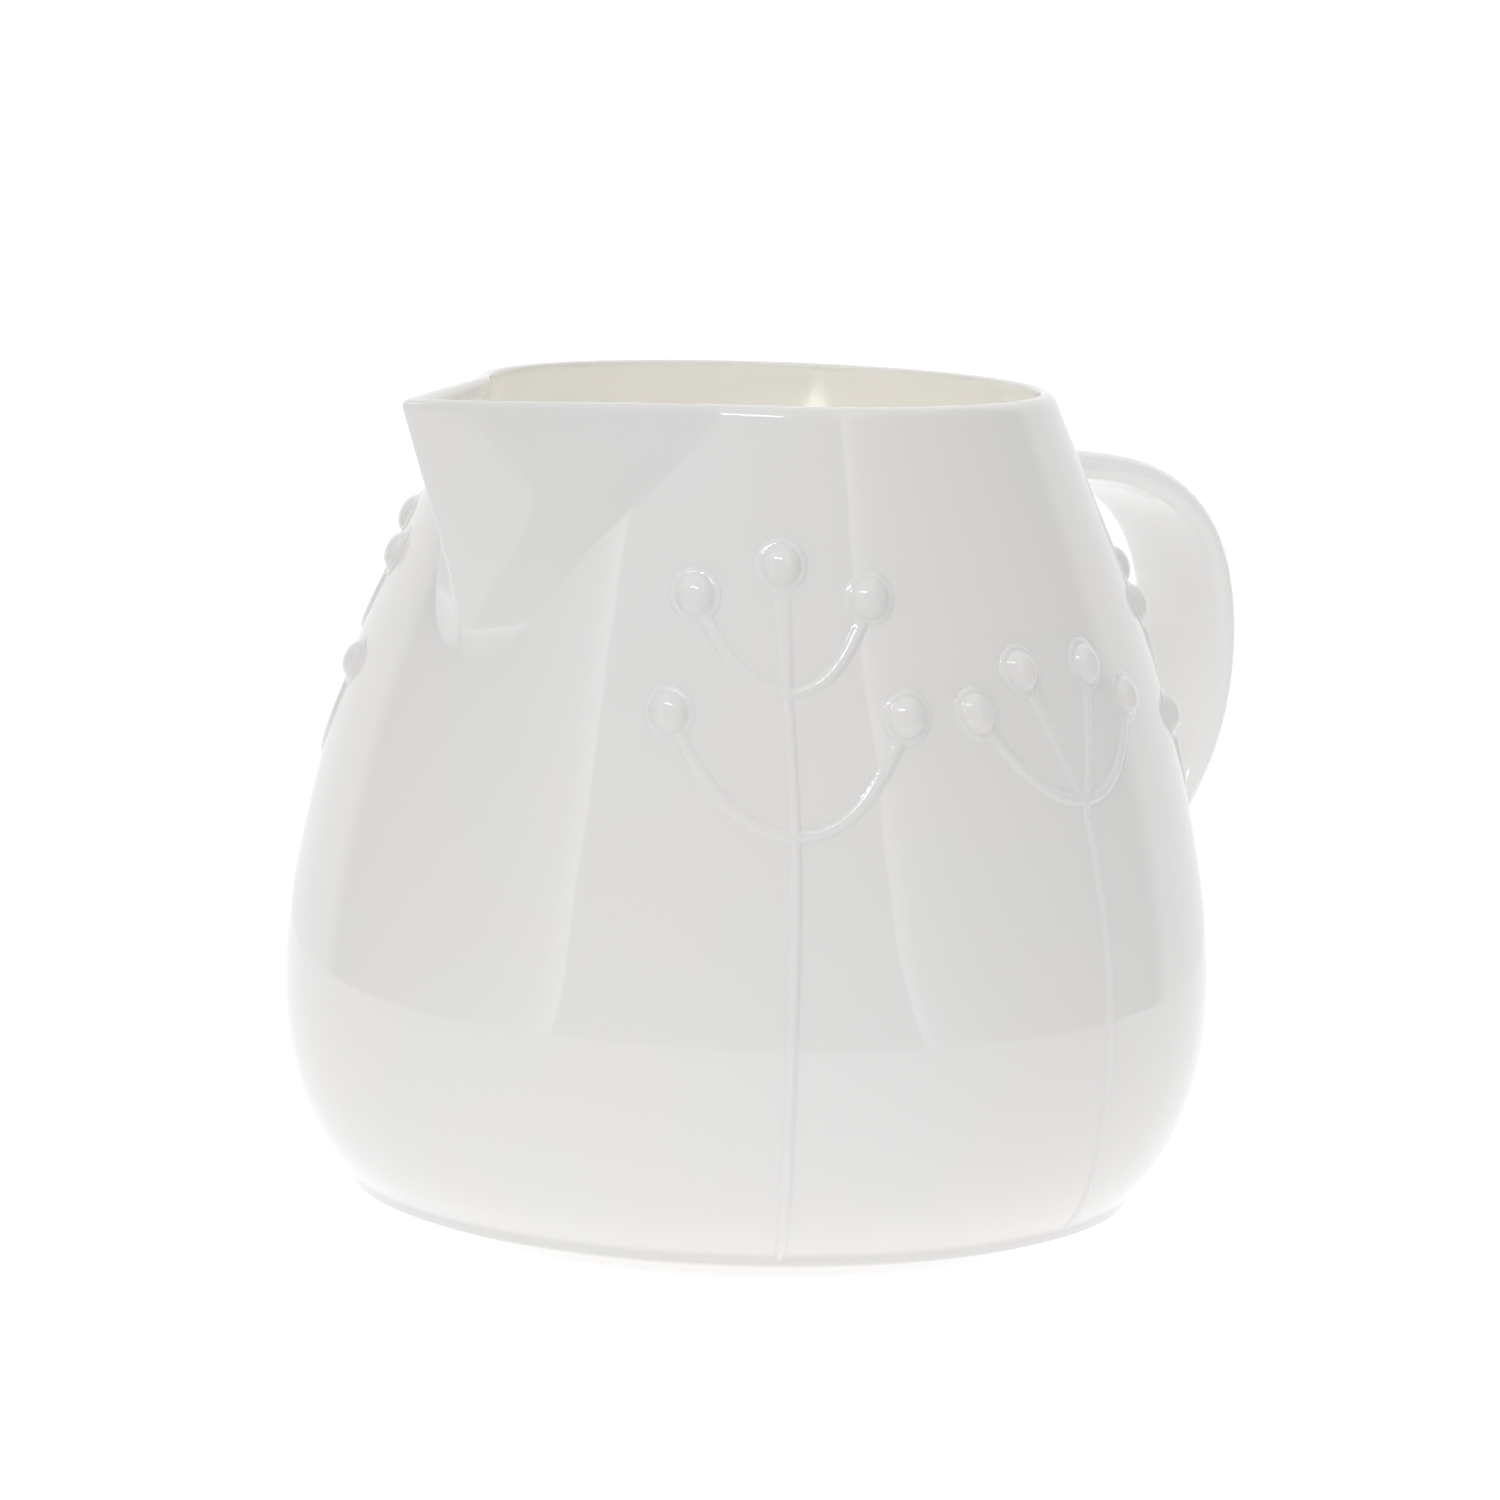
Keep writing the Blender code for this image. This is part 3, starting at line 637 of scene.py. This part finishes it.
def make_biscuit():
    """Bare fired clay of the foot ring: matt, grainy, a little greyer."""
    material, tree, shader = new_material("bare_biscuit")
    grain = noise(tree, 1500.0, 4.0, 0.7).outputs["Fac"]
    colour = mix_colours(tree, grain, (0.62, 0.59, 0.54), (0.72, 0.70, 0.66))
    tree.links.new(colour, shader.inputs["Base Color"])
    shader.inputs["Roughness"].default_value = 0.85
    bump(tree, shader, [(grain, 0.00003)])
    return material


# ---------------------------------------------------------------- stage


FLOOR_REACH = 0.40
PAINTED_CONTACT_SHADOW = (0.030, 0.050, 0.87, 0.92)  # painted contact shadow: the floor's glow ramps up from under the belly, hidden, to the open floor
BACKDROP = 1.05

# Surround, as (place, radiance): by height, towards each side and away from the camera, all as
# parts of a unit vector. A lean tips a side's edge as it climbs.
CEILING = [(0.0, 0.43), (0.70, 0.43), (0.80, 0.80), (1.0, 0.80)]
RIGHT_GLOW = [(0.0, 0.0), (0.652, 0.0), (0.656, 1.30), (0.72, 0.35), (0.88, 0.0)]
LEFT_GLOW = [(0.0, 0.0), (0.713, 0.0), (0.717, 1.60), (0.79, 0.45), (0.95, 0.0)]
BACK_GLOW = [(0.0, 0.0), (0.50, 0.0), (0.60, 0.58), (1.0, 0.58)]
RIGHT_LEAN = 0.34
LEFT_LEAN = 0.156

# Lights: the strip as (azimuth, elevation, distance, width, height, radiance), the beams as
# (distance from the belly's axis towards the spout, reach, strength)
STRIP = (-17.0, 54.0, 1.0, 0.56, 0.10, 10.0)
PANEL_AIM_HEIGHT = 0.07
MOUTH_BEAM = (0.0, 0.043, 3.9)
SPOUT_BEAM = (0.054, 0.010, 9.0)
BEAM_HEIGHT = 1.4  # above the rim
BEAM_SOURCE = 0.001

CAMERA_PITCH = 0.1425  # radians below the horizon
CAMERA_ROLL = 0.0318
CAMERA_TURN = math.radians(-45.0)
CAMERA_PLACE = (-0.00059, -0.9821, 0.22485)  # from the belly's axis, before the turn
LENS = 138.0
SENSOR = 36.0
RIGHT = Vector((math.cos(CAMERA_TURN), math.sin(CAMERA_TURN), 0.0))
FORWARD_FLAT = Vector((-math.sin(CAMERA_TURN), math.cos(CAMERA_TURN), 0.0))


def make_floor():
    """Pale floor with a glow of its own, weaker where the belly hides it as a painted contact
    shadow.
    """
    material, tree, shader = new_material("pale_floor")
    tone = ramp(tree, noise(tree, 6.0, 2.0).outputs["Fac"], 0.2, 0.8)
    colour = mix_colours(tree, tone, (0.16, 0.16, 0.16), (0.18, 0.18, 0.18))
    tree.links.new(colour, shader.inputs["Base Color"])
    shader.inputs["Roughness"].default_value = 0.7
    shader.inputs["Emission Color"].default_value = (1.0, 1.0, 1.0, 1.0)
    place = tree.nodes.new("ShaderNodeTexCoord")
    offset = tree.nodes.new("ShaderNodeVectorMath")
    offset.operation = "DISTANCE"
    offset.inputs[1].default_value = (AXIS_X, 0.0, 0.0)
    tree.links.new(place.outputs["Object"], offset.inputs[0])
    # painted contact shadow: the floor's glow is turned down near the belly's axis
    painted_shadow = tree.nodes.new("ShaderNodeMapRange")
    for socket, value in zip(("From Min", "From Max", "To Min", "To Max"), PAINTED_CONTACT_SHADOW):
        painted_shadow.inputs[socket].default_value = value
    tree.links.new(offset.outputs["Value"], painted_shadow.inputs["Value"])
    tree.links.new(painted_shadow.outputs["Result"], shader.inputs["Emission Strength"])
    angles = np.linspace(0, math.tau, 97)[:-1]
    rim = [(AXIS_X + FLOOR_REACH * math.cos(a), FLOOR_REACH * math.sin(a), 0.0) for a in angles]
    mesh = bpy.data.meshes.new("floor")
    mesh.from_pydata(rim, [], [tuple(range(len(rim)))])
    mesh.materials.append(material)
    floor = bpy.data.objects.new("floor", mesh)
    bpy.context.scene.collection.objects.link(floor)


def curve_node(tree, source, stops):
    """Value ramp through (position, value) stops, read as a number."""
    node = tree.nodes.new("ShaderNodeValToRGB")
    elements = node.color_ramp.elements
    elements.remove(elements[1])
    elements[0].color = (*[stops[0][1]] * 3, 1.0)
    for place, value in stops[1:]:
        elements.new(place).color = (value, value, value, 1.0)
    tree.links.new(source, node.inputs["Fac"])
    return node.outputs["Color"]


def calculate(tree, operation, a, b):
    """Output of a maths node; a and b are numbers or sockets."""
    node = tree.nodes.new("ShaderNodeMath")
    node.operation = operation
    for socket, value in zip(node.inputs, (a, b)):
        if isinstance(value, float):
            socket.default_value = value
        else:
            tree.links.new(value, socket)
    return node.outputs["Value"]


def make_world():
    """A soft surround that lights the object: a brighter ceiling, a glow at each side that starts
    sharply beside the camera and dies away outwards, and one behind. The camera itself sees
    plain white instead."""
    world = bpy.data.worlds.new("studio")
    world.use_nodes = True
    bpy.context.scene.world = world
    tree = world.node_tree
    coordinates = tree.nodes.new("ShaderNodeTexCoord")
    turned = tree.nodes.new("ShaderNodeMapping")
    turned.inputs["Rotation"].default_value = (0.0, 0.0, -CAMERA_TURN)
    tree.links.new(coordinates.outputs["Generated"], turned.inputs["Vector"])
    parts = tree.nodes.new("ShaderNodeSeparateXYZ")
    tree.links.new(turned.outputs["Vector"], parts.inputs["Vector"])
    ceiling = curve_node(tree, parts.outputs["Z"], CEILING)
    right_lean = calculate(tree, "MULTIPLY", parts.outputs["Z"], RIGHT_LEAN)
    rightward = calculate(tree, "ADD", right_lean, parts.outputs["X"])
    right_glow = curve_node(tree, rightward, RIGHT_GLOW)
    left_lean = calculate(tree, "MULTIPLY", parts.outputs["Z"], LEFT_LEAN)
    leftward = calculate(tree, "SUBTRACT", left_lean, parts.outputs["X"])
    left_glow = curve_node(tree, leftward, LEFT_GLOW)
    in_front = calculate(tree, "LESS_THAN", parts.outputs["Y"], 0.0)
    glow = calculate(tree, "MULTIPLY", calculate(tree, "ADD", left_glow, right_glow), in_front)
    glow = calculate(tree, "ADD", glow, curve_node(tree, parts.outputs["Y"], BACK_GLOW))
    strength = calculate(tree, "ADD", ceiling, glow)
    surround = tree.nodes["Background"]
    surround.inputs["Color"].default_value = (1.0, 1.0, 1.0, 1.0)
    tree.links.new(strength, surround.inputs["Strength"])
    behind = tree.nodes.new("ShaderNodeBackground")
    behind.inputs["Color"].default_value = (1.0, 1.0, 1.0, 1.0)
    behind.inputs["Strength"].default_value = BACKDROP
    ray = tree.nodes.new("ShaderNodeLightPath")
    mix = tree.nodes.new("ShaderNodeMixShader")
    tree.links.new(ray.outputs["Is Camera Ray"], mix.inputs["Fac"])
    tree.links.new(surround.outputs["Background"], mix.inputs[1])
    tree.links.new(behind.outputs["Background"], mix.inputs[2])
    tree.links.new(mix.outputs["Shader"], tree.nodes["World Output"].inputs["Surface"])


def direction(azimuth, elevation):
    """Unit vector; azimuth 0 is towards the camera, positive to the camera's right."""
    a = math.radians(azimuth)
    e = math.radians(elevation)
    towards = -FORWARD_FLAT
    level = towards * math.cos(a) + RIGHT * math.sin(a)
    return level * math.cos(e) + Vector((0, 0, math.sin(e)))


def add_panel(name, azimuth, elevation, distance, width, height, radiance):
    """Rectangular soft light that faces the object and glows with the given radiance."""
    light = bpy.data.lights.new(name, "AREA")
    light.shape = "RECTANGLE"
    light.size, light.size_y = width, height
    light.energy = radiance * math.pi * width * height
    panel = bpy.data.objects.new(name, light)
    aim = Vector((AXIS_X, 0.0, PANEL_AIM_HEIGHT))
    panel.location = aim + direction(azimuth, elevation) * distance
    panel.rotation_mode = "QUATERNION"
    panel.rotation_quaternion = (panel.location - aim).to_track_quat("Z", "Y")
    bpy.context.scene.collection.objects.link(panel)


def add_beam(name, aside, reach, strength):
    """Narrow beam straight down into the mouth, reach in radius at the rim, so the inside isn't
    dark."""
    light = bpy.data.lights.new(name, "SPOT")
    light.spot_size = 2 * math.atan(reach / BEAM_HEIGHT)
    light.spot_blend = 0.4
    light.shadow_soft_size = BEAM_SOURCE
    light.energy = strength * 4 * math.pi**2 * BEAM_HEIGHT**2
    beam = bpy.data.objects.new(name, light)
    beam.location = (AXIS_X - aside, 0.0, RIM + BEAM_HEIGHT)
    bpy.context.scene.collection.objects.link(beam)


# ---------------------------------------------------------------- camera


def make_camera():
    """Long lens a little above the rim, halfway between front and spout, slightly rolled."""
    forward = FORWARD_FLAT * math.cos(CAMERA_PITCH) - Vector((0, 0, math.sin(CAMERA_PITCH)))
    up = RIGHT.cross(forward)
    across = RIGHT * math.cos(CAMERA_ROLL) + up * math.sin(CAMERA_ROLL)
    upright = up * math.cos(CAMERA_ROLL) - RIGHT * math.sin(CAMERA_ROLL)
    data = bpy.data.cameras.new("camera")
    data.lens = LENS
    data.sensor_width = SENSOR
    data.clip_start = 0.05
    camera = bpy.data.objects.new("camera", data)
    aside, back, height = CAMERA_PLACE
    place = RIGHT * aside + FORWARD_FLAT * back + Vector((AXIS_X, 0.0, height))
    turn = Matrix((across, upright, -forward)).transposed()
    camera.matrix_world = Matrix.Translation(place) @ turn.to_4x4()
    bpy.context.scene.collection.objects.link(camera)
    bpy.context.scene.camera = camera


# ---------------------------------------------------------------- assembly


def main():
    white = make_glaze("white_glaze", WARM, COOL, cream=CREAM)
    relief = make_glaze("relief_glaze", WARM, COOL)
    strap = make_glaze("strap_glaze", WARM, COOL, translucent=STRAP_TRANSLUCENCY)
    vessel = make_vessel(white, make_biscuit())
    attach(vessel, "root")
    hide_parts("vessel_body", "spout")
    handle = make_handle(strap)
    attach(handle, "root")
    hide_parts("handle")
    for ending, shape in SPRIGS.items():
        for side, front in (("front", 1.0), ("back", -1.0)):
            node = f"sprig_{side}_{ending}"
            sprig = make_sprig(f"relief_{side}_{ending}", shape, front, relief)
            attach(sprig, "root")
            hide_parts(node)
    make_floor()
    make_world()
    add_panel("strip", *STRIP)
    add_beam("mouth_beam", *MOUTH_BEAM)
    add_beam("spout_beam", *SPOUT_BEAM)
    make_camera()
    bpy.context.scene.view_settings.view_transform = "Standard"


main()
